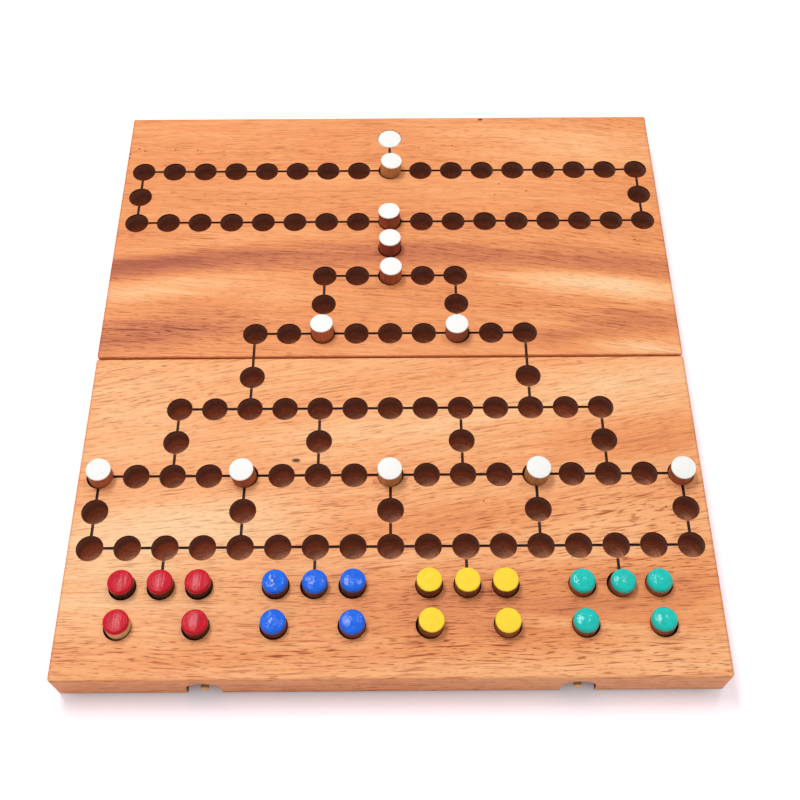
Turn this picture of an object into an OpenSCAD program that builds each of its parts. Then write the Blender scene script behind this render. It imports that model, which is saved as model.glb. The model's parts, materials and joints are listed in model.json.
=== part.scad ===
// Folding barricade game board: two drilled wooden halves on brass hinges,
// thirty-one lift-out pegs and an inlaid goal disc.
// The origin is under the middle of the seam, on the plane that the hinge knuckles stand on.
// X runs along the seam to the right, Y from the home side to the goal side, Z up.

/* [Board] */
// Thickness of each half
board_t = 16.5; // [15:0.5:20]
// Wood beside the outermost column of holes, from the hole centres to the side
side_margin = 9; // [8:0.5:20]
// Wood in front of the lower home row, from the hole centres to the front edge
front_margin = 21; // [20:0.2:30]
// Gap between the two halves when the board lies open
seam_gap = 0.6; // [0.4:0.1:1.2]
// Gap between the two undersides when the board is folded
fold_gap = 0.3; // [0.2:0.05:0.6]
// Rounding of the long edges of each half
edge_r = 0.9; // [0.4:0.1:1.4]
// Rounding of the upright corners of each half
corner_r = 1.6; // [1.5:0.1:4]

/* [Track] */
// Distance between neighbouring columns of holes
column_pitch = 15; // [14.5:0.1:16.5]
// Distance between neighbouring rows of holes
row_pitch = 15.9; // [15:0.1:17]
// Distance from the seam to the nearest row of the front half
seam_to_front_row = 10.2; // [9:0.1:14]
// Distance from the seam to the nearest row of the rear half
seam_to_rear_row = 12.4; // [10:0.1:15]
// Depth of the peg holes
hole_depth = 12.5; // [8:0.5:12.5]
// Width of the grooves that join the holes
groove_w = 1.2; // [0.5:0.1:1.6]
// Depth of the grooves
groove_depth = 0.8; // [0.3:0.1:1.2]

/* [Homes] */
// Distance from the first track row to the upper home row
home_drop = 16.3; // [15:0.1:18]
// Distance between the two home rows
home_row_gap = 16.2; // [15:0.1:18]

/* [Goal] */
// Diameter of the inlaid goal disc
goal_d = 11.4; // [9:0.1:13]
// Thickness of the goal disc
goal_t = 4; // [2:0.5:8]
// Distance from the last track row to the goal
goal_drop = 21; // [19:0.1:23]
// Gap all round the goal disc in its recess
goal_gap = 0.15; // [0.1:0.05:0.3]

/* [Pegs] */
// Diameter of every peg
peg_d = 10; // [8:0.1:10.4]
// How much wider than a peg its hole is
peg_play = 1; // [0.7:0.1:1.4]
// Length of a barricade peg
barricade_len = 19.8; // [16:0.2:26]
// Length of a player's peg
player_len = 18.4; // [16:0.2:26]
// Height of the domed tip of a player's peg
tip_crown = 0.9; // [0.4:0.1:2]
// Chamfer round the ends of the pegs
peg_chamfer = 0.5; // [0.2:0.1:0.8]
// Room between the foot of a peg and the bottom of its hole
peg_seat_gap = 0.2; // [0.1:0.05:0.4]

/* [Hinges] */
// Distance from each side of the board to the middle of its hinge
hinge_inset = 34; // [26:0.5:40]
// Length of a hinge along the seam
hinge_len = 40; // [30:1:46]
// Width of a leaf, from the hinge axis to its free edge
leaf_w = 11; // [8:0.5:14]
// Thickness of a leaf
leaf_t = 1; // [0.8:0.1:1.1]
// Outer diameter of the knuckles
knuckle_d = 2.6; // [2.6:0.1:3.6]
// Number of knuckles along a hinge
knuckles = 5; // [3:2:7]
// Gap between neighbouring knuckles
knuckle_gap = 0.2; // [0.1:0.05:0.4]
// Free space round the knuckles in the wood and the other leaf
knuckle_relief = 0.3; // [0.2:0.05:0.6]
// Diameter of the hinge pins
hinge_pin_d = 1.2; // [0.8:0.1:1.4]
// Radial running clearance of a hinge pin in its knuckles
pin_play = 0.05; // [0.02:0.01:0.09]
// Thickness of the riveted heads of a hinge pin
rivet_t = 0.4; // [0.2:0.1:0.8]
// How far a riveted head stands out past its hinge pin all round
rivet_lip = 0.4; // [0.2:0.05:0.4]
// Gap all round a leaf in its mortise
mortise_gap = 0.1; // [0.05:0.05:0.3]

/* [Screws] */
// Shank diameter of the hinge screws
screw_d = 2.4; // [1.8:0.1:2.8]
// Head diameter of the hinge screws
screw_head_d = 4.4; // [3.6:0.1:5]
// Length of the hinge screws
screw_len = 9; // [6:0.5:11]
// Length of the pointed tip of a screw
screw_tip = 2.5; // [1:0.1:3]
// Number of screws in each leaf
screws_per_leaf = 3; // [2:1:3]
// Distance between the screws of a leaf
screw_spacing = 13; // [10:0.5:14]
// Distance from the hinge axis to the screws
screw_reach = 6.2; // [5.2:0.1:7]
// Width of the slot in a screw head
screw_slot_w = 0.6; // [0.4:0.1:1]
// Depth of the slot in a screw head
screw_slot_depth = 0.5; // [0.3:0.1:0.7]
// Clearance all round a screw in the brass and the wood
screw_gap = 0.05; // [0.03:0.01:0.1]

/* [Closing pins] */
// Distance from the middle of the board to each closing pin
closing_x = 71.8; // [66:0.2:74]
// Width of the arched notch round a closing pin
notch_w = 13.4; // [11:0.2:15]
// Height of the notch above the underside
notch_h = 12.2; // [10:0.2:13]
// How far a notch reaches in from the edge of the board
notch_depth = 7; // [5:0.5:7.5]
// Diameter of the closing pins
closing_pin_d = 3.2; // [2:0.1:4]
// Height of the closing pins above the underside
closing_pin_h = 3; // [2.6:0.1:4]
// How far a closing pin is driven into the wood
closing_pin_embed = 7; // [4:0.5:7]
// How far the free end of a closing pin stays inside the edge of the board
closing_pin_inset = 0.3; // [0.1:0.1:1]
// Rounding of the free end of a closing pin
closing_pin_dome = 0.6; // [0.3:0.1:0.9]
// Radial clearance of a closing pin in the wood
closing_pin_gap = 0.05; // [0.03:0.01:0.1]

/* [Hidden] */
$fn = 64;
// Overrun of the cutting shapes past the faces that they open
over = 1;

// Track rows from the home side to the goal side, with one letter for each column:
// o is an open hole and b a hole that holds a barricade peg
front_track = [
    "ooooooooooooooooo",
    "o...o...o...o...o",
    "booobooobooobooob",
    "..o...o...o...o..",
    "..ooooooooooooo..",
    "....o.......o...."
];
rear_track = [
    "....ooboooboo....",
    "......o...o......",
    "......ooboo......",
    "........b........",
    "ooooooooboooooooo",
    "o...............o",
    "ooooooooboooooooo"
];
// Home rows from the track to the front edge, with the number of the player whose peg stands there
home_rows = [
    ".111.222.333.444.",
    ".1.1.2.2.3.3.4.4."
];
players = ["red", "blue", "yellow", "green"];
player_paint = [[0.78, 0.16, 0.25], [0.1, 0.4, 0.93], [0.98, 0.84, 0.2], [0.02, 0.68, 0.6]];
last_column = len(front_track[0]) - 1;
mid_column = last_column / 2;
last_front_row = len(front_track) - 1;
last_rear_row = len(rear_track) - 1;

wood = [0.9, 0.6, 0.38];
white_paint = [0.96, 0.96, 0.94];
brass = [0.82, 0.66, 0.32];

// Heights: the knuckles stand on Z = 0 and the hinge axis lies just under the undersides
knuckle_r = knuckle_d / 2;
axis_z = knuckle_r;
under_z = axis_z + fold_gap / 2;
top_z = under_z + board_t;
hole_z = top_z - hole_depth;
seat_z = hole_z + peg_seat_gap;

hole_d = peg_d + peg_play;
board_w = last_column * column_pitch + 2 * side_margin;
// Rows along Y, with the seam at zero
front_ys = [for (row = [0:last_front_row]) (row - last_front_row) * row_pitch - seam_to_front_row];
home_ys = [front_ys[0] - home_drop, front_ys[0] - home_drop - home_row_gap];
rear_ys = [for (row = [0:last_rear_row]) seam_to_rear_row + row * row_pitch];
goal_y = rear_ys[last_rear_row] + goal_drop;
// Distance from the middle of the seam to the outer edge of each half
edge_y = front_margin - home_ys[1];
half_len = edge_y - seam_gap / 2;

hinge_x = board_w / 2 - hinge_inset;
knuckle_pitch = hinge_len / knuckles;
relief_r = knuckle_r + knuckle_relief;
leaf_root = relief_r;
rivet_r = hinge_pin_d / 2 + rivet_lip;
relief_len = hinge_len + 2 * (rivet_t + knuckle_relief);
screw_head_h = (screw_head_d - screw_d) / 2;
closing_pin_len = notch_depth + closing_pin_embed - closing_pin_inset;

function column_x(column) = (column - mid_column) * column_pitch;
// Columns of one row that have a hole
function holes_of(letters) = [for (column = [0:last_column]) if (letters[column] != ".") column];
// Places of one letter in a list of rows, as [x, y]
function places(letter, rows, ys) = [
    for (row = [0:len(rows) - 1], column = [0:last_column])
        if (rows[row][column] == letter) [column_x(column), ys[row]]
];
function player_places(player) = places(str(player + 1), home_rows, home_ys);

barricade_places = concat(places("b", front_track, front_ys), places("b", rear_track, rear_ys));
barricades = len(barricade_places);
pegs_each = len(player_places(0));

// Rectangle round the middle with rounded corners
module round_rectangle(a, b, r) {
    square([a, b - 2 * r], center = true);
    square([a - 2 * r, b], center = true);
    for (i = [-1, 1], j = [-1, 1])
        translate([i * (a / 2 - r), j * (b / 2 - r)]) circle(r);
}

// Board with its base in the middle of Z = 0 and every edge eased
module eased_board(w, d, t) {
    intersection() {
        linear_extrude(t) round_rectangle(w, d, corner_r);
        translate([0, d / 2 + over, t / 2]) rotate([90, 0, 0])
            linear_extrude(d + 2 * over) round_rectangle(w, t, edge_r);
        translate([-w / 2 - over, 0, t / 2]) rotate([90, 0, 90])
            linear_extrude(w + 2 * over) round_rectangle(d, t, edge_r);
    }
}

module peg_hole(x, y) {
    translate([x, y, hole_z]) cylinder(d = hole_d, h = hole_depth + over);
}

// Holes of a list of rows that lie at a list of places along Y
module row_holes(rows, ys) {
    for (row = [0:len(rows) - 1], column = holes_of(rows[row]))
        peg_hole(column_x(column), ys[row]);
}

// Groove along X from one column to another
module row_groove(first, last, y) {
    translate([column_x(first), y - groove_w / 2, top_z - groove_depth])
        cube([column_x(last) - column_x(first), groove_w, groove_depth + over]);
}

// Groove along Y on one column
module column_groove(column, y_from, y_to) {
    translate([column_x(column) - groove_w / 2, y_from, top_z - groove_depth])
        cube([groove_w, y_to - y_from, groove_depth + over]);
}

// Grooves along every unbroken row, and between the holes that face each other in neighbouring rows
module track_grooves(rows, ys) {
    for (row = [0:len(rows) - 1]) {
        columns = holes_of(rows[row]);
        first = columns[0];
        last = columns[len(columns) - 1];
        if (last > first && last - first == len(columns) - 1) row_groove(first, last, ys[row]);
    }
    for (row = [1:len(rows) - 1], column = holes_of(rows[row]))
        if (rows[row - 1][column] != ".") column_groove(column, ys[row - 1], ys[row]);
}

// Screw standing head down on Z = 0, point up; clearance swells it to its hole
module screw_shape(clearance) {
    cylinder(d1 = screw_head_d + 2 * clearance, d2 = screw_d + 2 * clearance, h = screw_head_h);
    cylinder(d = screw_d + 2 * clearance, h = screw_len - screw_tip + clearance);
    translate([0, 0, screw_len - screw_tip + clearance])
        cylinder(d1 = screw_d + 2 * clearance, d2 = 0, h = screw_tip + clearance);
}

// Places its children at every screw of one leaf; turn is -1 for the front leaves and 1 for the rear
module at_screws(x, turn) {
    for (i = [0:screws_per_leaf - 1])
        translate([x + (i - (screws_per_leaf - 1) / 2) * screw_spacing, turn * screw_reach, under_z])
            children();
}

module screw() {
    difference() {
        translate([0, 0, screw_gap]) screw_shape(0);
        translate([-screw_head_d, -screw_slot_w / 2, -over])
            cube([2 * screw_head_d, screw_slot_w, over + screw_gap + screw_slot_depth]);
    }
}

// Room for one leaf, its knuckles and its screws in the wood
module hinge_seat(x, turn) {
    translate([x, turn * (leaf_w + mortise_gap) / 2, under_z])
        cube([hinge_len + 2 * mortise_gap, leaf_w + mortise_gap, 2 * leaf_t], center = true);
    translate([x, 0, axis_z]) rotate([0, 90, 0]) cylinder(r = relief_r, h = relief_len, center = true);
    at_screws(x, turn) screw_shape(screw_gap);
}

// Arched notch and the bore for its pin, at the outer edge of a half
module closing_seat(x, turn) {
    notch_r = notch_w / 2;
    translate([x, turn * edge_y, under_z]) rotate([90, 0, 0]) {
        translate([0, 0, turn > 0 ? -over : -notch_depth]) linear_extrude(notch_depth + over) {
            translate([0, notch_h - notch_r]) circle(notch_r);
            translate([-notch_r, -over]) square([notch_w, notch_h - notch_r + over]);
        }
        translate([0, closing_pin_h, turn > 0 ? 0 : -notch_depth - closing_pin_embed])
            cylinder(d = closing_pin_d + 2 * closing_pin_gap, h = notch_depth + closing_pin_embed);
    }
}

// One half of the board before its track is cut, with the seats of its hinges and closing pins
module board_half(turn) {
    difference() {
        translate([0, turn * (seam_gap + half_len) / 2, under_z]) eased_board(board_w, half_len, board_t);
        for (side = [-1, 1]) {
            hinge_seat(side * hinge_x, turn);
            closing_seat(side * closing_x, turn);
        }
    }
}

module front_board() {
    color(wood) difference() {
        board_half(-1);
        union() {
            row_holes(front_track, front_ys);
            row_holes(home_rows, home_ys);
        }
        union() {
            track_grooves(front_track, front_ys);
            for (column = holes_of(home_rows[0]))
                if (home_rows[1][column] == ".") column_groove(column, home_ys[0], front_ys[0]);
            for (column = holes_of(front_track[last_front_row]))
                column_groove(column, front_ys[last_front_row], over);
        }
    }
}

module rear_board() {
    color(wood) difference() {
        board_half(1);
        union() {
            row_holes(rear_track, rear_ys);
            translate([0, goal_y, top_z - goal_t]) cylinder(d = goal_d + 2 * goal_gap, h = goal_t + over);
        }
        union() {
            track_grooves(rear_track, rear_ys);
            column_groove(mid_column, rear_ys[last_rear_row], goal_y);
            for (column = holes_of(front_track[last_front_row])) column_groove(column, -over, rear_ys[0]);
        }
    }
}

module goal_disc() {
    color(white_paint) translate([0, goal_y, top_z - goal_t]) cylinder(d = goal_d, h = goal_t);
}

// Leaf of a hinge; the front leaf holds the odd knuckles and the rear leaf the even ones
module hinge_leaf(x, turn) {
    first = turn < 0 ? 0 : 1;
    color(brass) difference() {
        union() {
            translate([x - hinge_len / 2, turn < 0 ? -leaf_w : leaf_root, under_z])
                cube([hinge_len, leaf_w - leaf_root, leaf_t]);
            for (i = [first:2:knuckles - 1])
                translate([x - hinge_len / 2 + i * knuckle_pitch + knuckle_gap / 2, 0, 0]) {
                    translate([0, turn < 0 ? -leaf_root - over : 0, under_z])
                        cube([knuckle_pitch - knuckle_gap, leaf_root + over, leaf_t]);
                    translate([0, 0, axis_z]) rotate([0, 90, 0])
                        cylinder(r = knuckle_r, h = knuckle_pitch - knuckle_gap);
                }
        }
        translate([x, 0, axis_z]) rotate([0, 90, 0])
            cylinder(d = hinge_pin_d + 2 * pin_play, h = hinge_len + 2 * over, center = true);
        at_screws(x, turn) screw_shape(screw_gap);
    }
}

// Pin of a hinge with a riveted head at each end
module hinge_pin(x) {
    color(brass) translate([x, 0, axis_z]) rotate([0, 90, 0]) {
        cylinder(d = hinge_pin_d, h = hinge_len, center = true);
        for (end = [-1, 1])
            translate([0, 0, end * (hinge_len + rivet_t) / 2])
                cylinder(r = rivet_r, h = rivet_t, center = true);
    }
}

module hinge_screws(turn) {
    color(brass) for (side = [-1, 1]) at_screws(side * hinge_x, turn) screw();
}

// Closing pin with a rounded free end near the edge of the board
module closing_pin(x, turn) {
    color(brass) translate([x, turn * (edge_y - closing_pin_inset), under_z + closing_pin_h])
        rotate([turn * 90, 0, 0]) {
            translate([0, 0, closing_pin_dome])
                cylinder(d = closing_pin_d, h = closing_pin_len - closing_pin_dome);
            cylinder(d1 = closing_pin_d - 2 * closing_pin_dome, d2 = closing_pin_d, h = closing_pin_dome);
        }
}

// Dowel standing on Z = 0 with chamfered ends
module dowel(length) {
    tip_d = peg_d - 2 * peg_chamfer;
    cylinder(d1 = tip_d, d2 = peg_d, h = peg_chamfer);
    translate([0, 0, peg_chamfer]) cylinder(d = peg_d, h = length - 2 * peg_chamfer);
    translate([0, 0, length - peg_chamfer]) cylinder(d1 = peg_d, d2 = tip_d, h = peg_chamfer);
}

// Dowel whose upper end is a low dome
module domed_dowel(length) {
    dome_r = (pow(peg_d / 2, 2) + pow(tip_crown, 2)) / (2 * tip_crown);
    intersection() {
        union() {
            cylinder(d1 = peg_d - 2 * peg_chamfer, d2 = peg_d, h = peg_chamfer);
            translate([0, 0, peg_chamfer]) cylinder(d = peg_d, h = length - peg_chamfer);
        }
        translate([0, 0, length - dome_r]) sphere(dome_r);
    }
}

// Barricade pegs are counted through the front half and then the rear half
module barricade_peg(i) {
    place = barricade_places[i - 1];
    color(white_paint) translate([place[0], place[1], seat_z]) dowel(barricade_len);
}

module player_peg(player, i) {
    place = player_places(player)[i - 1];
    color(player_paint[player]) translate([place[0], place[1], seat_z]) domed_dowel(player_len);
}

front_board();
rear_board();
goal_disc();
hinge_leaf(-hinge_x, -1);  // left_hinge_front_leaf
hinge_leaf(-hinge_x, 1);  // left_hinge_rear_leaf
hinge_pin(-hinge_x);  // left_hinge_pin
hinge_leaf(hinge_x, -1);  // right_hinge_front_leaf
hinge_leaf(hinge_x, 1);  // right_hinge_rear_leaf
hinge_pin(hinge_x);  // right_hinge_pin
hinge_screws(-1);  // front_hinge_screws
hinge_screws(1);  // rear_hinge_screws
closing_pin(-closing_x, -1);  // front_left_closing_pin
closing_pin(closing_x, -1);  // front_right_closing_pin
closing_pin(-closing_x, 1);  // rear_left_closing_pin
closing_pin(closing_x, 1);  // rear_right_closing_pin
for (i = [1:barricades])
    barricade_peg(i);
for (player = [0:len(players) - 1], i = [1:pegs_each])
    player_peg(player, i);
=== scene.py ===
import json
import math

import bpy
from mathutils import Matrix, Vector


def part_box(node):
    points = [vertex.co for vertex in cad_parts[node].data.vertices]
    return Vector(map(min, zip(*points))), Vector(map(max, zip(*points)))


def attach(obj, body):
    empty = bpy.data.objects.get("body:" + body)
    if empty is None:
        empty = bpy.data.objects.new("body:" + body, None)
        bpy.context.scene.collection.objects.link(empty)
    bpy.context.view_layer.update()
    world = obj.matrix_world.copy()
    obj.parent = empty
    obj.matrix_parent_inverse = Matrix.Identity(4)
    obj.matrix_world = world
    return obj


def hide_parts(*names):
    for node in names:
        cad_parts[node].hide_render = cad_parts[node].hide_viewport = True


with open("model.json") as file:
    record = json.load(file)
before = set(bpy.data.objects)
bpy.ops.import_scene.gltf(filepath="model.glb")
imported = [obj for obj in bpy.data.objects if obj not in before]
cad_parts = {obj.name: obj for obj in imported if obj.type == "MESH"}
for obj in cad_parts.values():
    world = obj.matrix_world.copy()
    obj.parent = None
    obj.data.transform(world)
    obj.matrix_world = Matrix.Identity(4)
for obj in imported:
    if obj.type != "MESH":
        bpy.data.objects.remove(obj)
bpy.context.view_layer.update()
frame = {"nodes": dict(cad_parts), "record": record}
bodyOf = {node: body for body, nodes in frame["record"]["behaviour"]["bodies"].items() for node in nodes}

mm = 0.001


def linear(hexColour):
    # sRGB hex to a linear colour
    parts = [int(hexColour[i:i + 2], 16) / 255 for i in (1, 3, 5)]
    return tuple(p / 12.92 if p <= 0.04045 else ((p + 0.055) / 1.055) ** 2.4 for p in parts) + (1.0,)


def addNode(tree, kind, links=None, out=0, stops=None, **settings):
    # one node with its settings, its inputs linked or filled
    # gives back one of its outputs, or the node itself if out is None
    node = tree.nodes.new("ShaderNode" + kind)
    for key, value in settings.items():
        setattr(node, key, value)
    for key, value in (links or {}).items():
        if isinstance(value, bpy.types.NodeSocket):
            tree.links.new(value, node.inputs[key])
        else:
            node.inputs[key].default_value = value
    for i, (place, colour) in enumerate(stops or []):
        stop = node.color_ramp.elements[i] if i < 2 else node.color_ramp.elements.new(place)
        stop.position = place
        stop.color = linear(colour)
    return node.outputs[out] if out is not None and len(node.outputs) else node


def newMaterial(name):
    material = bpy.data.materials.new(name)
    material.use_nodes = True
    material.node_tree.nodes.clear()
    return material, material.node_tree


def dress(piece, material):
    piece.data.materials.clear()
    piece.data.materials.append(material)


def deselect():
    if bpy.context.object and bpy.context.object.mode != "OBJECT":
        bpy.ops.object.mode_set(mode="OBJECT")
    bpy.ops.object.select_all(action="DESELECT")


def placeInMm(tree):
    # where a point of the piece lies, in mm
    place = addNode(tree, "TexCoord", out="Object")
    return addNode(tree, "VectorMath", {0: place, "Scale": 1 / mm}, operation="SCALE")


def perMm(size):
    # scale of a pattern whose marks have this size in mm along x, y and z
    return tuple(1 / s for s in size)


def gated(tree, strength, gates):
    # strength times each gate, which has one level below a first value and another above a second
    for value, gateFrom, gateTo, before, after in gates:
        gate = addNode(tree, "MapRange", {0: value, 1: gateFrom, 2: gateTo, 3: before, 4: after})
        strength = addNode(tree, "Math", {0: strength, 1: gate}, operation="MULTIPLY")
    return strength


def softPatch(tree, face, patchX, patchY, halfLength, halfWidth, turn=0.0):
    # 1 in the middle of an oval on the face, 0 from its edge on
    oval = addNode(tree, "Mapping", {0: face, 1: (patchX, patchY, 0), 2: (0, 0, math.radians(turn)),
                                     3: (halfLength, halfWidth, 1)}, vector_type="TEXTURE")
    return addNode(tree, "TexGradient", {0: oval}, out="Fac", gradient_type="SPHERICAL")


def seenByCamera(tree):
    # 1 for what the camera sees, straight or by way of gloss, 0 for light that falls on the pieces
    rays = addNode(tree, "LightPath", out=None)
    seen = rays.outputs["Is Camera Ray"]
    for ray in ("Is Glossy Ray", "Is Transmission Ray"):
        seen = addNode(tree, "Math", {0: seen, 1: rays.outputs[ray]}, operation="MAXIMUM")
    return seen


# camera
cameraLook = {
    "place": (3.13, -261.241, 427.211),  # mm, in front of the home side and above it
    "turn": (30.2999, 0.0761, -0.3823),  # degrees
    "lens": 49.647,  # mm, for a sensor of this width
    "sensor": 36,
    "nearest": 0.01,  # m
}
deselect()
bpy.ops.object.camera_add(
    location=[v * mm for v in cameraLook["place"]],
    rotation=[math.radians(v) for v in cameraLook["turn"]],
)
camera = bpy.context.object
camera.name = "boardCamera"
camera.data.lens = cameraLook["lens"]
camera.data.sensor_width = cameraLook["sensor"]
camera.data.clip_start = cameraLook["nearest"]
camera.data.dof.use_dof = False
bpy.context.scene.camera = camera

# light
lightLook = {
    "sky": 0.49,  # even light from all round
    # place (m), width and length (m) and power (W)
    # long soft lamps high above the goal side, the strong one at the left
    "lamps": {
        "softKey": ((-0.34, 0.36, 1.25), (0.30, 0.7), 8.7),
        "softFill": ((0.43, 0.40, 1.35), (0.10, 0.6), 2.4),
    },
}
for name, (place, size, power) in lightLook["lamps"].items():
    deselect()
    bpy.ops.object.light_add(type="AREA", location=place)
    lamp = bpy.context.object
    lamp.name = name
    lamp.data.shape = "ELLIPSE"
    lamp.data.size, lamp.data.size_y = size
    lamp.data.energy = power
    # turned to the middle of the board, its length from front to back
    lamp.rotation_euler = (math.asin(-place[1] / Vector(place).length), math.atan2(place[0], place[2]), 0)

world = bpy.data.worlds.new("studio")
bpy.context.scene.world = world
world.use_nodes = True
tree = world.node_tree
tree.nodes.clear()
level = addNode(tree, "MapRange", {0: seenByCamera(tree), 3: lightLook["sky"], 4: 1.0})
sky = addNode(tree, "Background", {"Color": (1, 1, 1, 1), "Strength": level})
addNode(tree, "OutputWorld", {"Surface": sky})

# floor
floorLook = {
    "size": 6,  # m
    "colour": "#FDECF4",
    "grit": 900.0,  # bumps of the paper in a metre
    "gritHeight": 0.1,  # mm
    "lift": 0.31,  # what the camera adds to see the floor white
    "farLift": (0.3, 1.5, 0.6),  # and more of it from here to there (m), where the lamps reach less
    # mm inside the sides, behind the front edge and behind the seam, between which the lift fades
    "darkSides": (8, 2),
    "darkFront": (-3, 5),
    "darkSeam": (0.5, 2),
}
boardLow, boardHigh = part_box("front_board")


def floorPaper():
    # matt paper: soft shadows, no gloss
    material, tree = newMaterial("whiteSeamlessPaper")
    place = addNode(tree, "TexCoord", out="Object")
    axes = addNode(tree, "SeparateXYZ", {0: place}, out=None).outputs
    nearEnd, farEnd, farMore = floorLook["farLift"]
    away = addNode(tree, "VectorMath", {0: place}, out="Value", operation="LENGTH")
    lift = addNode(tree, "MapRange", {0: away, 1: nearEnd, 2: farEnd, 3: floorLook["lift"],
                                      4: floorLook["lift"] + farMore})
    lift = addNode(tree, "Math", {0: seenByCamera(tree), 1: lift}, operation="MULTIPLY")

    # no lift below the front half, which always stands there, so that its notches and the seam stay dark
    sideWays = addNode(tree, "Math", {0: axes["X"]}, operation="ABSOLUTE")
    sideFrom, sideTo = [boardHigh.x - v * mm for v in floorLook["darkSides"]]
    frontFrom, frontTo = [boardLow.y + v * mm for v in floorLook["darkFront"]]
    seamFrom, seamTo = [v * mm for v in floorLook["darkSeam"]]
    hidden = gated(tree, 1.0, [
        (sideWays, sideFrom, sideTo, 1.0, 0.0),
        (axes["Y"], frontFrom, frontTo, 0.0, 1.0),
        (axes["Y"], seamFrom, seamTo, 1.0, 0.0),
    ])
    openFloor = addNode(tree, "Math", {0: 1.0, 1: hidden}, operation="SUBTRACT")
    lift = addNode(tree, "Math", {0: lift, 1: openFloor}, operation="MULTIPLY")

    grit = addNode(tree, "TexNoise", {"Vector": place, "Scale": floorLook["grit"], "Detail": 2.0})
    tooth = addNode(tree, "Bump", {"Height": grit, "Strength": 0.05,
                                   "Distance": floorLook["gritHeight"] * mm})
    paper = addNode(tree, "BsdfDiffuse", {"Color": linear(floorLook["colour"]), "Normal": tooth})
    glow = addNode(tree, "Emission", {"Color": (1, 1, 1, 1), "Strength": lift})
    addNode(tree, "OutputMaterial", {"Surface": addNode(tree, "AddShader", {0: paper, 1: glow})})
    return material


deselect()
bpy.ops.mesh.primitive_plane_add(size=floorLook["size"], location=(0, 0, 0))
floor = bpy.context.object
floor.name = "tableTop"
dress(floor, floorPaper())
print("stage: camera, floor and light")

# the two halves of the board; sizes are mm
pinLow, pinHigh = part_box("front_right_closing_pin")
boardLook = {
    "topZ": boardHigh.z / mm,
    "underZ": boardLow.z / mm,
    "sideX": boardHigh.x / mm,
    "edgeY": -boardLow.y / mm,
    "holeDepth": 12.5,
    "grooveDepth": 0.8,
    "grooveHalf": 0.6,
    "columnPitch": 15.0,
    "rowPitch": 15.9,
    "stairX": 60.0,  # the two grooves that cross the seam
    "notchX": (pinLow.x + pinHigh.x) / 2 / mm,
    "notchHalf": 6.9,
    "notchTop": 12.2,
    "notchDepth": 7.0,
    # length, width and depth of the marks in the wood
    "wander": (95, 40, 40),
    "bands": (150, 14, 14),
    "streaks": (42, 1.9, 1.9),
    "fibres": (13, 0.7, 0.7),
    "shares": (0.34, 0.42, 0.34),  # of bands, streaks and fibres in how light the wood is
    "wanderBy": 9.0,  # how far grain lines drift aside
    "raggedBy": 9.0,  # how far streaks reach over the edge of a patch
    "patchGain": 1.5,
    # length and width of short and long pores, and the level of noise where they start
    "pores": [(5.5, 0.58, 0.56), (16.0, 0.9, 0.57)],
    "poreEdge": 0.13,  # and how much more noise it takes to their full depth
    "poreDark": (0.6, 0.3),  # in dark bands and in pale ones
    "poreDeep": 0.12,  # how deep pores and fibres are cut
    "rim": (1.3, 0.3),  # where the painted shade on the eased edges starts and ends, from the outside face
    "seamShadeBand": (0.5, 1.1),  # the same for the painted shade at the seam, from its middle
    "rimShade": {"side": 0.35, "end": 0.15, "seam": 0.5},
    # height and strength of the painted shade along the foot of the outside faces, near the floor
    "footShadeHeight": (0.2, 2.0),
    "footShade": 0.85,
    # strength of the painted shade inside the notches
    "notchShadeLevel": 0.85,
    "speckDark": 0.92,
    "scorchShadeHeight": (0.05, 6.5),  # above the floor of a hole, from the floor's painted light to the scorched wall and its painted shade
    "drillRings": (0.9, 1.2, 1.0),  # apart across the floor and down the wall
    "ringChange": (9, 9, 30),  # over which rings become different
    "tornSize": 0.9,
    "tornShare": 0.6,
    "ringDark": 0.62,
    "bareLevels": (0.8, 1.1),  # of the floor of a hole in dark and in pale wood
    "rough": (0.44, 0.60),
    "gloss": 0.18,
    "tones": [(0.0, "#B06044"), (0.22, "#D27D53"), (0.5, "#F09A60"), (0.74, "#FCB67E"), (1.0, "#FFCF9D")],
    "poreTint": "#A46A42",
    "speckColour": "#4A1F12",
    # hole walls: scorched wood darkened with painted shade; hole floors: painted light
    "scorchedShadedWall": "#9C6553",
    "litHoleFloor": "#FFB288",
    "grooveColour": "#34100A",
    # colour of the painted shade inside the notches
    "notchShadeColour": "#4A2013",
    "edgeShadeTint": "#B9805A",
    "footShadeTint": "#6E5142",
}

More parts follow.
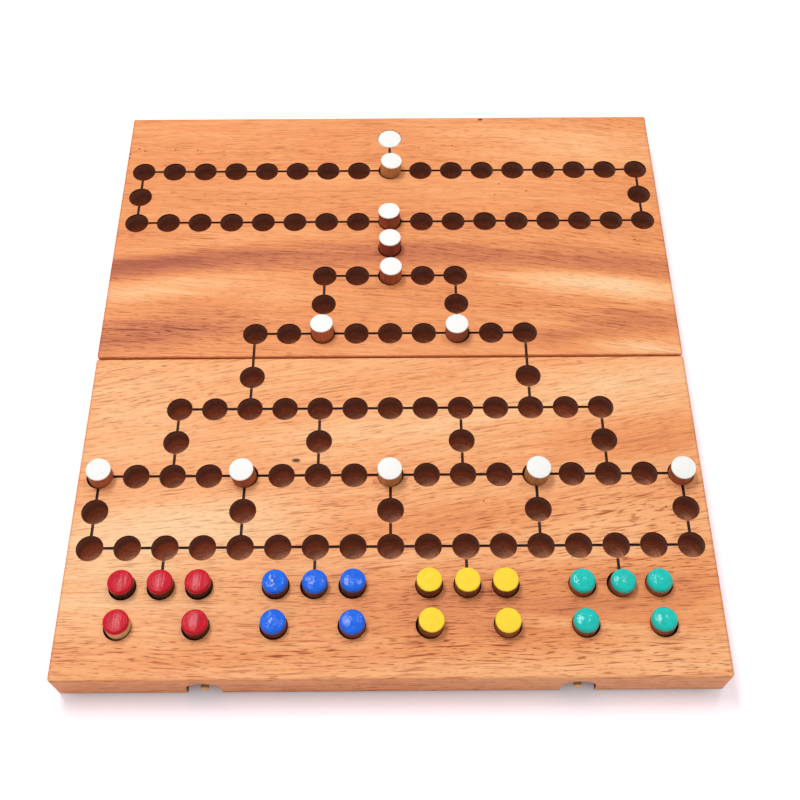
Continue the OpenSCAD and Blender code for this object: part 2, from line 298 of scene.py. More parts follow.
# figure of each half
# slope is two places in y (mm), and how steeply the grain rises to the right at each of them
# patches are x, y, half length, half width (mm), turn (degrees) and how much lighter (+) or darker (-)
# coarse patches are where pores show more, and specks are x, y, half length and half width (mm)
frontFigure = {
    "firstRow": -10.2,  # y of the row of holes next to the seam
    "level": 0.66,
    "slope": (-132.0, -55.0, 0.0, 0.15),  # straight at the front edge
    "bow": 0.0,
    "fall": 0.0,
    "patches": [
        (-88, -83, 72, 20, 6, 0.30), (-8, -38, 80, 15, 8, 0.14), (96, -17, 70, 17, 8, 0.19),
        (-115, -112, 45, 30, 0, 0.14), (108, -42, 60, 13, 9, -0.19), (0, -112, 55, 17, 4, -0.15),
        (62, -116, 75, 21, 6, -0.25), (118, -108, 45, 30, 5, -0.10), (24, -79, 60, 11, 8, -0.14),
        (-60, -136, 200, 12, 0, -0.08), (100, -138, 110, 15, 0, 0.08), (70, -122, 60, 3, -6, 0.22),
        (-112, -30, 50, 40, 0, 0.11), (90, -86, 45, 14, 6, 0.08),
    ],
    "coarse": [
        (0, -136, 320, 14, 0, 0.5), (-60, -106, 90, 24, 6, 0.3), (20, -60, 60, 14, 8, 0.25),
        (92, -72, 80, 32, 6, 0.35), (38, -110, 85, 30, 4, 0.42), (118, -108, 45, 35, 0, 0.3),
        (-97, -14, 70, 24, 6, 0.35), (-80, -74, 70, 20, 6, 0.15), (-30, -74, 40, 16, 6, 0.2),
    ],
    "specks": [
        (-39.3, -50.9, 2.3, 1.2), (-38.5, -51.0, 1.2, 0.6), (112, -73, 0.5, 0.4), (38, -70, 0.5, 0.4),
    ],
    "seed": 3.7,
}
rearFigure = {
    "firstRow": 12.4,
    "level": 0.50,
    "slope": (45.0, 105.0, -0.085, 0.0),  # falls near the seam
    "bow": 0.0006,  # the dark band arches across the half
    "fall": 0.0004,  # and the grain falls away at the right
    "patches": [
        (0, 57, 260, 10, 0, -0.25), (-122, 60, 75, 9, 0, -0.30), (110, 58, 60, 10, 0, -0.04),
        (98, 44, 62, 9, 0, 0.40), (-109, 44, 75, 9, 2, 0.20), (-112, 20, 70, 12, 0, -0.27),
        # the patches near the seam at the right, at x 106 and 115, hold a painted sheen as well as figure
        (106, 24, 36, 9, 8, -0.20), (75, 13, 32, 7, 6, -0.24), (115, 12, 42, 5, 0, 0.24),
        (90, 130, 100, 24, 0, 0.15), (-80, 69, 50, 6, 0, 0.08), (-50, 36, 40, 9, 0, 0.08),
    ],
    "coarse": [(-107, 20, 70, 14, 0, 0.7), (0, 57, 260, 10, 0, 0.3), (90, 20, 60, 12, 0, 0.4)],
    "specks": [
        (45.8, 141.4, 1.6, 0.9), (-124, 123, 0.6, 0.5), (-121, 121.6, 0.6, 0.5), (-128, 119.5, 0.7, 0.5),
        (-128, 117, 0.7, 0.5), (-106, 122.5, 0.5, 0.4), (-95, 121.9, 0.6, 0.4), (-82, 120.8, 0.5, 0.4),
        (-110, 112, 0.5, 0.4), (-110, 107, 0.5, 0.4), (-69, 87.4, 0.6, 0.4), (14.5, 122.8, 0.5, 0.4),
        (31, 124, 0.5, 0.4), (53, 99, 0.6, 0.4), (66, 94.5, 0.6, 0.4), (50.5, 92, 0.5, 0.4),
        (50, 106.5, 0.6, 0.4), (115, 64.5, 0.6, 0.4),
    ],
    "seed": 11.2,
}


def grainLines(tree, figure, place, x, y, z):
    # the place in the wood, with y counted across grain lines that slope, wander and fall away
    fromY, toY, slopeBefore, slopeAfter = figure["slope"]
    lean = addNode(tree, "MapRange", {0: y, 1: fromY, 2: toY, 3: slopeBefore, 4: slopeAfter},
                   interpolation_type="SMOOTHSTEP")
    lean = addNode(tree, "Math", {0: lean, 1: x}, operation="MULTIPLY")
    drift = addNode(tree, "Mapping", {0: place, 1: (0, 0, figure["seed"]), 3: perMm(boardLook["wander"])})
    drift = addNode(tree, "TexNoise", {"Vector": drift, "Scale": 1.0, "Detail": 2.0})
    across = addNode(tree, "Math", {0: y, 1: lean}, operation="SUBTRACT")
    across = addNode(tree, "Math", {0: drift, 1: boardLook["wanderBy"], 2: across},
                     operation="MULTIPLY_ADD")
    rightX = addNode(tree, "Math", {0: x, 1: 0.0}, operation="MAXIMUM")
    rightX = addNode(tree, "Math", {0: rightX, 1: rightX}, operation="MULTIPLY")
    across = addNode(tree, "Math", {0: rightX, 1: figure["fall"], 2: across}, operation="MULTIPLY_ADD")
    return addNode(tree, "CombineXYZ", {0: x, 1: across, 2: z})


def woodMarks(tree, figure, grain):
    # noise along the grain: broad bands, streaks and fine fibres
    bands = addNode(tree, "Mapping", {0: grain, 1: (figure["seed"], 0, 0), 3: perMm(boardLook["bands"])})
    bands = addNode(tree, "TexNoise", {"Vector": bands, "Scale": 1.0, "Detail": 3.0, "Roughness": 0.55})
    streaks = addNode(tree, "Mapping", {0: grain, 3: perMm(boardLook["streaks"])})
    streaks = addNode(tree, "TexNoise", {"Vector": streaks, "Scale": 1.0, "Detail": 3.0, "Roughness": 0.6})
    fibres = addNode(tree, "Mapping", {0: grain, 3: perMm(boardLook["fibres"])})
    fibres = addNode(tree, "TexNoise", {"Vector": fibres, "Scale": 1.0, "Detail": 1.0})
    return bands, streaks, fibres


def poreMarks(tree, figure, grain):
    # tapered dark dashes 5 to 16 mm long, drawn half a millimetre to a millimetre wide so that they show
    dashes = 0.0
    for length, width, start in boardLook["pores"]:
        pore = addNode(tree, "Mapping", {0: grain, 1: (length, figure["seed"], 0),
                                         3: perMm((length, width, width))})
        pore = addNode(tree, "TexNoise", {"Vector": pore, "Scale": 1.0, "Detail": 1.5, "Roughness": 0.6})
        dash = addNode(tree, "MapRange", {0: pore, 1: start, 2: start + boardLook["poreEdge"]})
        dashes = addNode(tree, "Math", {0: dash, 1: dashes}, operation="MAXIMUM")
    return dashes


def frayedFace(tree, figure, x, y, streaks):
    # the place on the face, bowed, and pushed aside by streaks that fray the edges of the patches
    fray = boardLook["raggedBy"]
    squareX = addNode(tree, "Math", {0: x, 1: x}, operation="MULTIPLY")
    across = addNode(tree, "Math", {0: squareX, 1: figure["bow"], 2: y}, operation="MULTIPLY_ADD")
    across = addNode(tree, "Math", {0: streaks, 1: fray, 2: across}, operation="MULTIPLY_ADD")
    across = addNode(tree, "Math", {0: across, 1: fray / 2}, operation="SUBTRACT")
    return addNode(tree, "CombineXYZ", {0: x, 1: across, 2: 0.0})


def woodTone(tree, figure, face, marks):
    # how light the wood is
    tone = figure["level"] - sum(boardLook["shares"]) / 2
    for mark, share in zip(marks, boardLook["shares"]):
        tone = addNode(tree, "Math", {0: mark, 1: share, 2: tone}, operation="MULTIPLY_ADD")
    for *oval, strength in figure["patches"]:
        patch = softPatch(tree, face, *oval)
        tone = addNode(tree, "Math", {0: patch, 1: strength * boardLook["patchGain"], 2: tone},
                       operation="MULTIPLY_ADD")
    return tone


def poreShade(tree, figure, colour, face, bands, dashes):
    # pores are darker in dark bands and in the coarse patches
    inDark, inPale = boardLook["poreDark"]
    depth = addNode(tree, "MapRange", {0: bands, 1: 0.35, 2: 0.65, 3: inDark, 4: inPale})
    for *oval, strength in figure["coarse"]:
        patch = softPatch(tree, face, *oval)
        depth = addNode(tree, "Math", {0: patch, 1: strength, 2: depth}, operation="MULTIPLY_ADD")
    depth = addNode(tree, "Math", {0: dashes, 1: depth}, operation="MULTIPLY")
    return addNode(tree, "Mix", {0: depth, 6: colour, 7: linear(boardLook["poreTint"])}, out=2,
                   data_type="RGBA", blend_type="MULTIPLY")


def speckMarks(tree, figure, x, y):
    # pin knots and worm specks
    flat = addNode(tree, "CombineXYZ", {0: x, 1: y, 2: 0.0})
    specks = 0.0
    for oval in figure["specks"]:
        specks = addNode(tree, "Math", {0: softPatch(tree, flat, *oval), 1: specks}, operation="MAXIMUM")
    return addNode(tree, "MapRange", {0: specks, 1: 0.05, 2: 0.45, 4: boardLook["speckDark"]})


def edgeShade(tree, colour, sideWays, lengthWays, z):
    # painted shade: the eased outside edges and faces are a little darker, the seam darker, and the foot
    # of the outside faces dark near the floor
    rimFrom, rimTo = boardLook["rim"]
    seamFrom, seamTo = boardLook["seamShadeBand"]
    footFrom, footTo = [boardLook["underZ"] + v for v in boardLook["footShadeHeight"]]
    sideX, edgeY, dark = boardLook["sideX"], boardLook["edgeY"], boardLook["rimShade"]
    rim = addNode(tree, "MapRange", {0: sideWays, 1: sideX - rimFrom, 2: sideX - rimTo, 4: dark["side"]})
    end = addNode(tree, "MapRange", {0: lengthWays, 1: edgeY - rimFrom, 2: edgeY - rimTo, 4: dark["end"]})
    # painted shade in the seam between the two halves
    seam = addNode(tree, "MapRange", {0: lengthWays, 1: seamFrom, 2: seamTo, 3: dark["seam"], 4: 0.0})
    rim = addNode(tree, "Math", {0: rim, 1: end}, operation="MAXIMUM")
    # painted shade along the foot of the outside faces
    foot = gated(tree, boardLook["footShade"], [
        (rim, 0.02, 0.12, 0.0, 1.0),
        (z, footFrom, footTo, 1.0, 0.0),
    ])
    rim = addNode(tree, "Math", {0: rim, 1: seam}, operation="MAXIMUM")
    for strength, tint in ((rim, "edgeShadeTint"), (foot, "footShadeTint")):
        colour = addNode(tree, "Mix", {0: strength, 6: colour, 7: linear(boardLook[tint])}, out=2,
                         data_type="RGBA", blend_type="MULTIPLY")
    return colour


def insideNotches(tree, sideWays, lengthWays, z):
    # painted shade on the sawn faces inside the notches of the outer edge: how dark it is
    edgeY, backY = boardLook["edgeY"], boardLook["edgeY"] - boardLook["notchDepth"]
    half, topZ = boardLook["notchHalf"], boardLook["underZ"] + boardLook["notchTop"]
    fromNotch = addNode(tree, "Math", {0: sideWays, 1: boardLook["notchX"]}, operation="SUBTRACT")
    fromNotch = addNode(tree, "Math", {0: fromNotch}, operation="ABSOLUTE")
    return gated(tree, boardLook["notchShadeLevel"], [
        (fromNotch, half - 0.1, half, 1.0, 0.0),
        (lengthWays, backY - 0.3, backY - 0.1, 0.0, 1.0),
        (lengthWays, edgeY - 0.3, edgeY - 0.1, 1.0, 0.0),
        (z, topZ, topZ + 0.2, 1.0, 0.0),
    ])


def insideHoles(tree, sideWays, lengthWays, z):
    # 1 inside holes and grooves: below the top face and away from the outside faces
    topZ, floorZ = boardLook["topZ"], boardLook["topZ"] - boardLook["holeDepth"]
    grooveZ, half = boardLook["topZ"] - boardLook["grooveDepth"], boardLook["grooveHalf"]
    sideX, backY = boardLook["sideX"], boardLook["edgeY"] - boardLook["notchDepth"]
    # the seam faces stay wood, but for the ends of the two stair grooves
    fromStair = addNode(tree, "Math", {0: sideWays, 1: boardLook["stairX"]}, operation="SUBTRACT")
    fromStair = addNode(tree, "Math", {0: fromStair}, operation="ABSOLUTE")
    stair = gated(tree, 1.0, [
        (fromStair, half, half + 0.06, 1.0, 0.0),
        (z, grooveZ - 0.15, grooveZ - 0.05, 0.0, 1.0),
    ])
    awayFromSeam = addNode(tree, "MapRange", {0: lengthWays, 1: 1.2, 2: 1.6})
    atSeam = addNode(tree, "Math", {0: awayFromSeam, 1: stair}, operation="MAXIMUM")
    return gated(tree, atSeam, [
        (z, topZ - 0.12, topZ - 0.03, 1.0, 0.0),
        (z, floorZ - 0.7, floorZ - 0.5, 0.0, 1.0),
        (sideWays, sideX - 2.2, sideX - 2.0, 1.0, 0.0),
        (lengthWays, backY - 0.6, backY - 0.4, 1.0, 0.0),
    ])


def drilledWood(tree, figure, place, x, y, z, tone):
    # scorched walls darkened with painted shade and floors paled with painted light, with the rings that
    # the drill left, and dark grooves
    floorZ, grooveZ = [boardLook["topZ"] - boardLook[depth] for depth in ("holeDepth", "grooveDepth")]
    halfColumn, halfRow = boardLook["columnPitch"] / 2, boardLook["rowPitch"] / 2
    fromRow = addNode(tree, "Math", {0: y, 1: figure["firstRow"]}, operation="SUBTRACT")
    holeX = addNode(tree, "Math", {0: x, 1: halfColumn, 2: -halfColumn}, operation="WRAP")
    holeY = addNode(tree, "Math", {0: fromRow, 1: halfRow, 2: -halfRow}, operation="WRAP")
    fromMiddle = addNode(tree, "CombineXYZ", {0: holeX, 1: holeY, 2: 0.0})
    fromMiddle = addNode(tree, "VectorMath", {0: fromMiddle}, out="Value", operation="LENGTH")
    rings = addNode(tree, "CombineXYZ", {0: fromMiddle, 1: z, 2: 0.0})
    rings = addNode(tree, "Mapping", {0: rings, 3: perMm(boardLook["drillRings"])})
    change = addNode(tree, "Mapping", {0: place, 3: perMm(boardLook["ringChange"])})
    rings = addNode(tree, "VectorMath", {0: rings, 1: change}, operation="ADD")
    rings = addNode(tree, "TexNoise", {"Vector": rings, "Scale": 1.0, "Detail": 2.0})
    torn = addNode(tree, "TexNoise", {"Vector": place, "Scale": 1 / boardLook["tornSize"], "Detail": 2.0,
                                      "Roughness": 0.6})
    rings = addNode(tree, "Mix", {0: boardLook["tornShare"], 2: rings, 3: torn}, data_type="FLOAT")

    # the floor's painted light is paler or darker as the figure is there
    scorchFrom, scorchTo = [floorZ + v for v in boardLook["scorchShadeHeight"]]
    scorchAndShade = addNode(tree, "MapRange", {0: z, 1: scorchFrom, 2: scorchTo})
    darkLevel, paleLevel = boardLook["bareLevels"]
    litFloor = addNode(tree, "MapRange", {0: tone, 1: 0.5, 2: 0.95, 3: darkLevel, 4: paleLevel})
    litFloor = addNode(tree, "VectorMath", {0: linear(boardLook["litHoleFloor"])[:3], "Scale": litFloor},
                   operation="SCALE")
    wall = addNode(tree, "Mix", {0: scorchAndShade, 6: litFloor, 7: linear(boardLook["scorchedShadedWall"])}, out=2,
                   data_type="RGBA")
    shade = addNode(tree, "MapRange", {0: rings, 1: 0.38, 2: 0.62, 3: boardLook["ringDark"], 4: 1.0})
    wall = addNode(tree, "VectorMath", {0: wall, "Scale": shade}, operation="SCALE")
    groove = addNode(tree, "MapRange", {0: z, 1: grooveZ - 0.15, 2: grooveZ})
    return addNode(tree, "Mix", {0: groove, 6: wall, 7: linear(boardLook["grooveColour"])}, out=2,
                   data_type="RGBA")


def boardWood(name, figure):
    # sawn and oiled tropical hardwood: long streaks, short dark pores, satin, with scorched drill holes
    # whose walls hold painted shade and floors painted light
    material, tree = newMaterial(name)
    place = placeInMm(tree)
    x, y, z = addNode(tree, "SeparateXYZ", {0: place}, out=None).outputs
    sideWays = addNode(tree, "Math", {0: x}, operation="ABSOLUTE")
    lengthWays = addNode(tree, "Math", {0: y}, operation="ABSOLUTE")

    # figure, pores and edges
    grain = grainLines(tree, figure, place, x, y, z)
    bands, streaks, fibres = woodMarks(tree, figure, grain)
    dashes = poreMarks(tree, figure, grain)
    face = frayedFace(tree, figure, x, y, streaks)
    tone = woodTone(tree, figure, face, (bands, streaks, fibres))
    colour = addNode(tree, "ValToRGB", {0: tone}, stops=boardLook["tones"])
    colour = poreShade(tree, figure, colour, face, bands, dashes)
    specks = speckMarks(tree, figure, x, y)
    colour = addNode(tree, "Mix", {0: specks, 6: colour, 7: linear(boardLook["speckColour"])}, out=2,
                     data_type="RGBA")
    colour = edgeShade(tree, colour, sideWays, lengthWays, z)

    # what is cut into the wood
    # painted shade on the faces inside the notches
    notchShade = insideNotches(tree, sideWays, lengthWays, z)
    colour = addNode(tree, "Mix", {0: notchShade, 6: colour, 7: linear(boardLook["notchShadeColour"])}, out=2,
                     data_type="RGBA")
    inside = insideHoles(tree, sideWays, lengthWays, z)
    # scorched holes with painted shade on their walls and painted light on their floors
    drilled = drilledWood(tree, figure, place, x, y, z, tone)
    colour = addNode(tree, "Mix", {0: inside, 6: colour, 7: drilled}, out=2, data_type="RGBA")

    smooth, dull = boardLook["rough"]
    rough = addNode(tree, "MapRange", {0: streaks, 1: 0.3, 2: 0.7, 3: smooth, 4: dull})
    height = addNode(tree, "Math", {0: dashes, 1: -1.0, 2: fibres}, operation="MULTIPLY_ADD")
    relief = addNode(tree, "Bump", {"Height": height, "Strength": 0.25,
                                    "Distance": boardLook["poreDeep"] * mm})
    skin = addNode(tree, "BsdfPrincipled", {"Base Color": colour, "Roughness": rough, "Normal": relief,
                                            "IOR": 1.5, "Specular IOR Level": boardLook["gloss"]})
    addNode(tree, "OutputMaterial", {"Surface": skin})
    return material


dress(frame["nodes"]["front_board"], boardWood("oiledHardwoodFront", frontFigure))
dress(frame["nodes"]["rear_board"], boardWood("oiledHardwoodRear", rearFigure))
print("boards: two halves in oiled hardwood")

# hinges, screws and closing pins; sizes are mm
brassLook = {
    "hinge": {"name": "rolledBrassHinge", "bright": "#C9A455", "dull": "#8F6F35",
              "rough": 0.34, "metal": 1.0, "lines": (0.5, 6, 0.5)},
    "pin": {"name": "dulledBrassPin", "bright": "#F4C888", "dull": "#CF9650",
            "rough": 0.45, "metal": 0.35, "lines": (0.6, 8, 0.6)},
    "cloud": 5,  # size of the tarnished patches
    "lineDeep": 0.04,
}


def brassSkin(look):
    # plain brass, rolled or drawn: fine lines along the metal and a thin brown tarnish in patches
    material, tree = newMaterial(look["name"])
    place = placeInMm(tree)
    cloud = addNode(tree, "TexNoise", {"Vector": place, "Scale": 1 / brassLook["cloud"], "Detail": 4.0,
                                       "Roughness": 0.6})
    tarnish = addNode(tree, "MapRange", {0: cloud, 1: 0.42, 2: 0.72, 4: 0.8})
    colour = addNode(tree, "Mix", {0: tarnish, 6: linear(look["bright"]), 7: linear(look["dull"])}, out=2,
                     data_type="RGBA")
    drawn = addNode(tree, "Mapping", {0: place, 3: perMm(look["lines"])})
    drawn = addNode(tree, "TexNoise", {"Vector": drawn, "Scale": 1.0, "Detail": 2.0})
    sheen = addNode(tree, "MapRange", {0: drawn, 1: 0.3, 2: 0.7, 3: look["rough"] - 0.07,
                                       4: look["rough"] + 0.1})
    relief = addNode(tree, "Bump", {"Height": drawn, "Strength": 0.15,
                                    "Distance": brassLook["lineDeep"] * mm})
    skin = addNode(tree, "BsdfPrincipled", {"Base Color": colour, "Metallic": look["metal"],
                                            "Roughness": sheen, "Normal": relief})
    addNode(tree, "OutputMaterial", {"Surface": skin})
    return material


hingeBrass = brassSkin(brassLook["hinge"])
pinBrass = brassSkin(brassLook["pin"])
for name, node in frame["nodes"].items():
    if "closing_pin" in name:
        dress(node, pinBrass)
    elif "hinge" in name:
        dress(node, hingeBrass)
print("brass: hinges, screws and closing pins")

# what the new pieces share
smoothAngle = 38  # degrees
slack = 0.001  # mm


def selectRim(piece, height):
    # edges that lie all round at one height
    bpy.ops.object.mode_set(mode="EDIT")
    bpy.ops.mesh.select_mode(type="EDGE")
    bpy.ops.mesh.select_all(action="DESELECT")
    bpy.ops.object.mode_set(mode="OBJECT")
    for edge in piece.data.edges:
        edge.select = all(abs(piece.data.vertices[v].co.z - height) < slack * mm for v in edge.vertices)
    bpy.ops.object.mode_set(mode="EDIT")


def settle(piece, name):
    # place and turn go into the mesh
    bpy.ops.object.mode_set(mode="OBJECT")
    bpy.ops.object.transform_apply(location=True, rotation=True, scale=True)
    bpy.ops.object.shade_smooth_by_angle(angle=math.radians(smoothAngle))
    piece.name = name
    piece.data.name = name


# goal disc; sizes are mm
goalLook = {
    "name": "goalPlug",
    "sides": 72,
    "rim": 0.3,  # rounding of the edge
    "rimSteps": 3,
    "colour": "#F6F5F2",
    "shade": "#EFEDE8",
    "rough": 0.5,
    "wrinkle": 0.12,
    "coverSize": 2.6,  # thicker and thinner patches of paint
    "rippleSize": 0.9,
    "rippleDeep": 0.1,
}


def goalSkin(name, look):
    # brushed gloss paint on a wooden plug: thin, a touch uneven in thickness and shine
    material, tree = newMaterial(name)
    place = placeInMm(tree)
    cover = addNode(tree, "TexNoise", {"Vector": place, "Scale": 1 / look["coverSize"], "Detail": 3.0})
    cover = addNode(tree, "MapRange", {0: cover, 1: 0.35, 2: 0.7})
    tint = addNode(tree, "Mix", {0: cover, 6: linear(look["colour"]), 7: linear(look["shade"])}, out=2,
                   data_type="RGBA")
    ripple = addNode(tree, "TexNoise", {"Vector": place, "Scale": 1 / look["rippleSize"], "Detail": 2.0})
    relief = addNode(tree, "Bump", {"Height": ripple, "Strength": look["wrinkle"],
                                    "Distance": look["rippleDeep"] * mm})
    shine = addNode(tree, "MapRange", {0: ripple, 1: 0.3, 2: 0.7, 3: look["rough"] - 0.06,
                                       4: look["rough"] + 0.08})
    skin = addNode(tree, "BsdfPrincipled", {"Base Color": tint, "Roughness": shine, "Normal": relief,
                                            "IOR": 1.48})
    addNode(tree, "OutputMaterial", {"Surface": skin})
    return material


goalLow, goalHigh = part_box("goal_disc")
goalSize = goalHigh - goalLow
goalMiddle = (goalLow + goalHigh) / 2
deselect()
bpy.ops.mesh.primitive_cylinder_add(vertices=goalLook["sides"], radius=goalSize.x / 2, depth=goalSize.z,
                                    location=goalMiddle)
goal = bpy.context.object
selectRim(goal, goalSize.z / 2)
bpy.ops.mesh.bevel(offset=goalLook["rim"] * mm, segments=goalLook["rimSteps"], affect="EDGES")
settle(goal, goalLook["name"])
dress(goal, goalSkin("brushedWhitePaintGoal", goalLook))
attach(goal, bodyOf["goal_disc"])
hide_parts("goal_disc")
print("goal: one plug")

# pegs; sizes are mm
pegLook = {
    "sides": 56,
    "footChamfer": 0.5,
    "footSteps": 2,
    "crownRings": 6,
    "crownEnd": 0.04,  # share of the crown that stays flat in the middle
    "seatDepth": 12.3,  # how deep a peg stands in its hole
    "play": 0.46,  # how far a peg may sit off the middle of its hole
    "turnEach": 0.7,  # radians that each peg is turned further on itself
    "brownSize": 21,  # so broad that each dowel gets its own brown
    "poreSize": (0.9, 0.9, 9),
    "coverSize": 2.4,  # thicker and thinner patches of paint
    "edgeSize": 2.2,  # waves in the edge of the paint
    "brushLength": 30,
    "brushTurn": 0.12,  # radians
    "paintStep": 0.4,  # where the paint stops, as a share of the relief
    "reliefDeep": 0.3,
    "bareRough": 0.6,
}
# rim is the rounding of the painted end, rimSteps its steps, crown how far the middle of the end rises
# paintDown is how far paint runs down the side, ragged how much its edge wanders
# wrinkle and apart are the height and spacing of wrinkles, streak and bristle those of brush lines
# leans are how far each top leans from the middle of its hole, to the right and to the back
pegKinds = {
    "barricade": {
        "slot": "barricade_white", "rim": 0.28, "rimSteps": 3, "crown": 0.0,
        "name": "brushedWhitePaintPeg", "paint": "#F7F6F3", "worn": "#F5F4F1",
        "rough": 0.55, "gloss": 0.35,
        "wrinkle": 0.05, "apart": 1.3, "bristle": 2.0, "streak": 0.0, "paintDown": 0.45, "ragged": 0.12,
        "shaft": "#BF6A42", "shaftDark": "#853E26",
        "leans": [(1.0, -0.1), (-0.92, -0.48), (-0.25, -0.6), (0.65, -0.4), (-0.4, -0.95), (-0.2, 1.02),
                  (-0.5, 0.1), (0.5, 0.0), (0.1, 0.7), (-0.33, 0.98), (0.95, 0.15)],
    },
    "red": {
        "slot": "player_red", "rim": 0.9, "rimSteps": 6, "crown": 0.35,
        "name": "brushedRedLacquerPeg", "paint": "#D60E2C", "worn": "#BC0A22",
        "rough": 0.22, "gloss": 0.2,
        "wrinkle": 0.3, "apart": 1.6, "bristle": 3.0, "streak": 1.2, "paintDown": 2.1, "ragged": 0.5,
        # its shaft browns are darkened as painted shade, for the shadow on the dowel below the paint
        "shaft": "#5E3022", "shaftDark": "#30170F",
        "leans": [(0.2, 0.3), (0.5, 0.3), (0.1, 0.4), (0.4, 0.6), (0.4, 0.2)],
    },
    "blue": {
        "slot": "player_blue", "rim": 1.6, "rimSteps": 6, "crown": 0.4,
        "name": "glossBlueLacquerPeg", "paint": "#0C6FF2", "worn": "#0A5FE0",
        "rough": 0.07, "gloss": 0.30,
        "wrinkle": 1.25, "apart": 1.5, "bristle": 2.0, "streak": 0.0, "paintDown": 2.3, "ragged": 0.5,
        # its shaft browns are darkened as painted shade, for the shadow on the dowel below the paint
        "shaft": "#7E4430", "shaftDark": "#4A261A",
        "leans": [(0.0, 0.3), (0.6, 0.2), (0.45, 0.8), (0.1, 0.35), (0.35, 0.0)],
    },
    "yellow": {
        "slot": "player_yellow", "rim": 0.6, "rimSteps": 6, "crown": 0.0,
        "name": "mattYellowPaintPeg", "paint": "#FEDD38", "worn": "#FBD42E",
        "rough": 0.6, "gloss": 0.3,
        "wrinkle": 0.08, "apart": 1.3, "bristle": 2.0, "streak": 0.0, "paintDown": 0.4, "ragged": 0.35,
        # its shaft browns are darkened as painted shade, for the shadow on the dowel below the paint
        "shaft": "#A35F35", "shaftDark": "#6E3A1C",
        "leans": [(0.0, 0.1), (-0.1, -0.1), (-0.36, -0.1), (0.6, 0.1), (-0.3, -0.3)],
    },
    "green": {
        "slot": "player_green", "rim": 1.9, "rimSteps": 6, "crown": 0.5,
        "name": "glossSeaGreenLacquerPeg", "paint": "#00CDC0", "worn": "#00BDB0",
        "rough": 0.07, "gloss": 0.34,
        "wrinkle": 1.1, "apart": 1.5, "bristle": 1.6, "streak": 0.9, "paintDown": 2.4, "ragged": 0.6,
        "shaft": "#A45B3B", "shaftDark": "#6A3722",
        "leans": [(-0.4, -0.1), (0.6, -0.4), (-0.4, -0.2), (-0.4, 0.1), (-0.73, 0.55)],
    },
}
# dowels of another brown than the rest of their kind
otherDowels = {
    "red_peg_4": {"name": "brushedRedLacquerPalePeg", "shaft": "#F3C79A", "shaftDark": "#DDAE7C"},
    "barricade_peg_11": {"name": "brushedWhitePaintPalePeg", "shaft": "#D09458", "shaftDark": "#A06A3C"},
    "barricade_peg_4": {"name": "brushedWhitePaintLightPeg", "shaft": "#C88E58", "shaftDark": "#966038"},
    "barricade_peg_3": {"name": "brushedWhitePaintGoldenPeg", "shaft": "#D0915A", "shaftDark": "#A0683A"},
    "barricade_peg_7": {"name": "brushedWhitePaintDarkPeg", "shaft": "#96503A", "shaftDark": "#66301F"},
    "barricade_peg_9": {"name": "brushedWhitePaintRedPeg", "shaft": "#A04A36", "shaftDark": "#7A3022"},
}


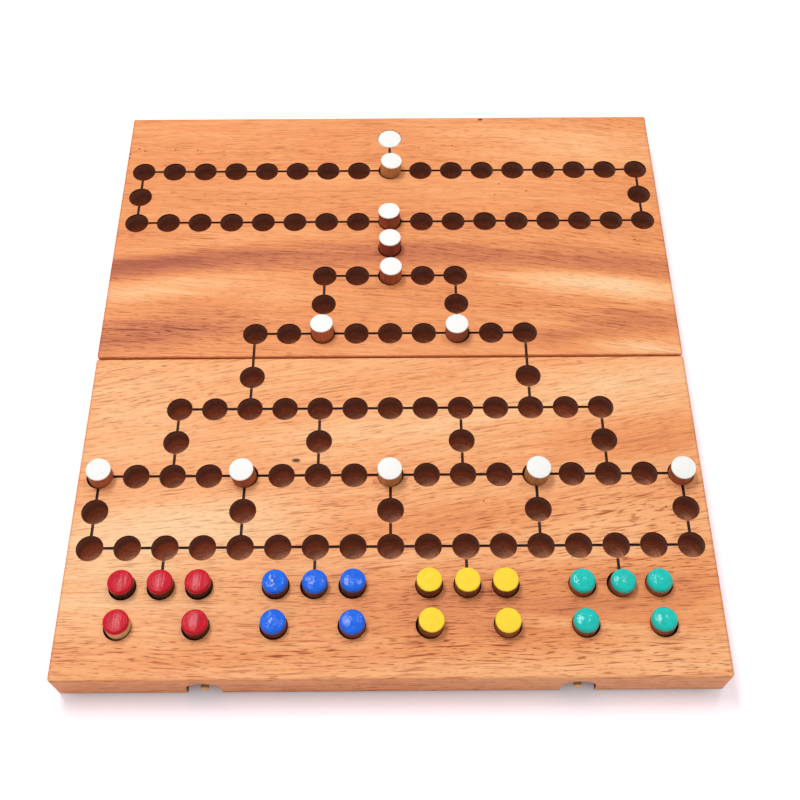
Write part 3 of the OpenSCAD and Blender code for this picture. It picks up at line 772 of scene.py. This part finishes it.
def pegSkin(look):
    # dowel end dipped or brushed with paint over bare brown wood: shine above, straight pores below
    material, tree = newMaterial(look["name"])
    place = placeInMm(tree)

    # shaft: pores run up the dowel, and each dowel has its own brown
    brown = addNode(tree, "TexNoise", {"Vector": place, "Scale": 1 / pegLook["brownSize"], "Detail": 0.0})
    pores = addNode(tree, "Mapping", {0: place, 3: perMm(pegLook["poreSize"])})
    pores = addNode(tree, "TexNoise", {"Vector": pores, "Scale": 1.0, "Detail": 2.0, "Roughness": 0.6})
    brown = addNode(tree, "Math", {0: brown, 1: 1.5, 2: pores}, operation="MULTIPLY_ADD")
    brown = addNode(tree, "MapRange", {0: brown, 1: 0.95, 2: 1.6})
    shaft = addNode(tree, "Mix", {0: brown, 6: linear(look["shaft"]), 7: linear(look["shaftDark"])}, out=2,
                    data_type="RGBA")

    # paint, thicker and thinner
    cover = addNode(tree, "TexNoise", {"Vector": place, "Scale": 1 / pegLook["coverSize"], "Detail": 3.0})
    cover = addNode(tree, "MapRange", {0: cover, 1: 0.35, 2: 0.7})
    paint = addNode(tree, "Mix", {0: cover, 6: linear(look["paint"]), 7: linear(look["worn"])}, out=2,
                    data_type="RGBA")

    # the edge of the paint wanders round the dowel
    wander = addNode(tree, "TexNoise", {"Vector": place, "Scale": 1 / pegLook["edgeSize"], "Detail": 2.0})
    belowTop = addNode(tree, "Attribute", out="Fac", attribute_name="belowTop")
    edge = addNode(tree, "Math", {0: wander, 1: 2 * look["ragged"], 2: belowTop}, operation="MULTIPLY_ADD")
    paintEnd = look["paintDown"] + look["ragged"]
    painted = addNode(tree, "MapRange", {0: edge, 1: paintEnd - 0.06, 2: paintEnd + 0.06, 3: 1.0, 4: 0.0})
    colour = addNode(tree, "Mix", {0: painted, 6: shaft, 7: paint}, out=2, data_type="RGBA")

    # skin of the paint: wrinkles, brush lines across the end, and a step where it stops
    ripple = addNode(tree, "TexNoise", {"Vector": place, "Scale": 1 / look["apart"], "Detail": 1.5,
                                        "Distortion": 0.6})
    brushSize = (look["bristle"], pegLook["brushLength"], pegLook["brushLength"])
    brush = addNode(tree, "Mapping", {0: place, 2: (0, 0, pegLook["brushTurn"]), 3: perMm(brushSize)})
    brush = addNode(tree, "TexNoise", {"Vector": brush, "Scale": 1.0, "Detail": 2.0})
    height = addNode(tree, "Math", {0: ripple, 1: look["wrinkle"]}, operation="MULTIPLY")
    height = addNode(tree, "Math", {0: brush, 1: look["streak"], 2: height}, operation="MULTIPLY_ADD")
    height = addNode(tree, "Mix", {0: painted, 2: pores, 3: height}, data_type="FLOAT")
    height = addNode(tree, "Math", {0: painted, 1: pegLook["paintStep"], 2: height},
                     operation="MULTIPLY_ADD")
    relief = addNode(tree, "Bump", {"Height": height, "Strength": 0.6,
                                    "Distance": pegLook["reliefDeep"] * mm})
    rough = addNode(tree, "MapRange", {0: painted, 3: pegLook["bareRough"], 4: look["rough"]})
    skin = addNode(tree, "BsdfPrincipled", {"Base Color": colour, "Roughness": rough, "Normal": relief,
                                            "IOR": 1.45, "Specular IOR Level": look["gloss"]})
    addNode(tree, "OutputMaterial", {"Surface": skin})
    return material


def raiseCrown(peg, length, flat, crown):
    # the flat end rises ring by ring to a low crown
    bpy.ops.mesh.select_mode(type="FACE")
    bpy.ops.mesh.select_all(action="DESELECT")
    bpy.ops.object.mode_set(mode="OBJECT")
    for face in peg.data.polygons:
        face.select = face.normal.z > 0.999 and face.center.z > length - crown - slack * mm
    bpy.ops.object.mode_set(mode="EDIT")
    rings = pegLook["crownRings"]
    for ring in range(rings):
        inner = (rings - ring - 1) / rings
        outer = (rings - ring) / rings
        rise = crown * ((1 - inner ** 2) - (1 - outer ** 2))
        bpy.ops.mesh.inset(thickness=flat * (outer - max(inner, pegLook["crownEnd"])), depth=rise)


def modelPeg(kind, length, radius):
    # a dowel standing on the origin: rounded painted end, chamfered foot
    look = pegKinds[kind]
    rim, crown = look["rim"] * mm, look["crown"] * mm
    deselect()
    bpy.ops.mesh.primitive_cylinder_add(vertices=pegLook["sides"], radius=radius, depth=length - crown,
                                        location=(0, 0, (length - crown) / 2))
    peg = bpy.context.object
    bpy.ops.object.transform_apply(location=True, rotation=True, scale=True)
    selectRim(peg, length - crown)
    bpy.ops.mesh.bevel(offset=rim, segments=look["rimSteps"], affect="EDGES")
    selectRim(peg, 0.0)
    bpy.ops.mesh.bevel(offset=pegLook["footChamfer"] * mm, segments=pegLook["footSteps"], affect="EDGES")
    if crown > 0:
        raiseCrown(peg, length, radius - rim, crown)
    settle(peg, kind + "Pattern")
    # the paint follows the dowel's own length
    below = peg.data.attributes.new("belowTop", "FLOAT", "POINT")
    below.data.foreach_set("value", [(length - v.co.z) / mm for v in peg.data.vertices])
    return peg


def leanOf(lean, length):
    # how far the foot shifts, and the slant of a peg that leans inside its hole
    top = Vector(lean)
    share = pegLook["seatDepth"] / length
    foot = Vector((0, 0))
    if top.length * share > pegLook["play"]:
        foot = top.normalized() * (pegLook["play"] - top.length * share) / (1 - share)
    return foot, (top - foot) / length


pegCount = 0
for kind, look in pegKinds.items():
    low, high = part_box(kind + "_peg_1")
    pattern = modelPeg(kind, high.z - low.z, (high.x - low.x) / 2)
    dress(pattern, pegSkin(look))
    for i, lean in enumerate(look["leans"], 1):
        node = kind + "_peg_" + str(i)
        low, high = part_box(node)
        length = high.z - low.z
        foot, slant = leanOf(lean, length / mm)
        middle = (low + high) / 2
        rimRise = (high.x - low.x) / 2 * slant.length
        deselect()
        pattern.select_set(True)
        bpy.context.view_layer.objects.active = pattern
        bpy.ops.object.duplicate(linked=False)
        peg = bpy.context.object
        peg.rotation_mode = "ZXY"  # the dowel turns on itself first and leans after that
        peg.rotation_euler = (-math.atan(slant.y), math.atan(slant.x), pegLook["turnEach"] * i)
        peg.scale.z = 1 - 2 * rimRise / length  # as tall as before when it leans
        peg.location = (middle.x + foot.x * mm, middle.y + foot.y * mm, low.z + rimRise)
        settle(peg, kind + "Peg" + str(i))
        if node in otherDowels:
            dress(peg, pegSkin({**look, **otherDowels[node]}))
        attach(peg, bodyOf[node])
        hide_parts(node)
        pegCount += 1
    bpy.data.objects.remove(pattern)
print("pegs:", pegCount, "dowels")

scene = bpy.context.scene
scene.view_settings.view_transform = "Standard"
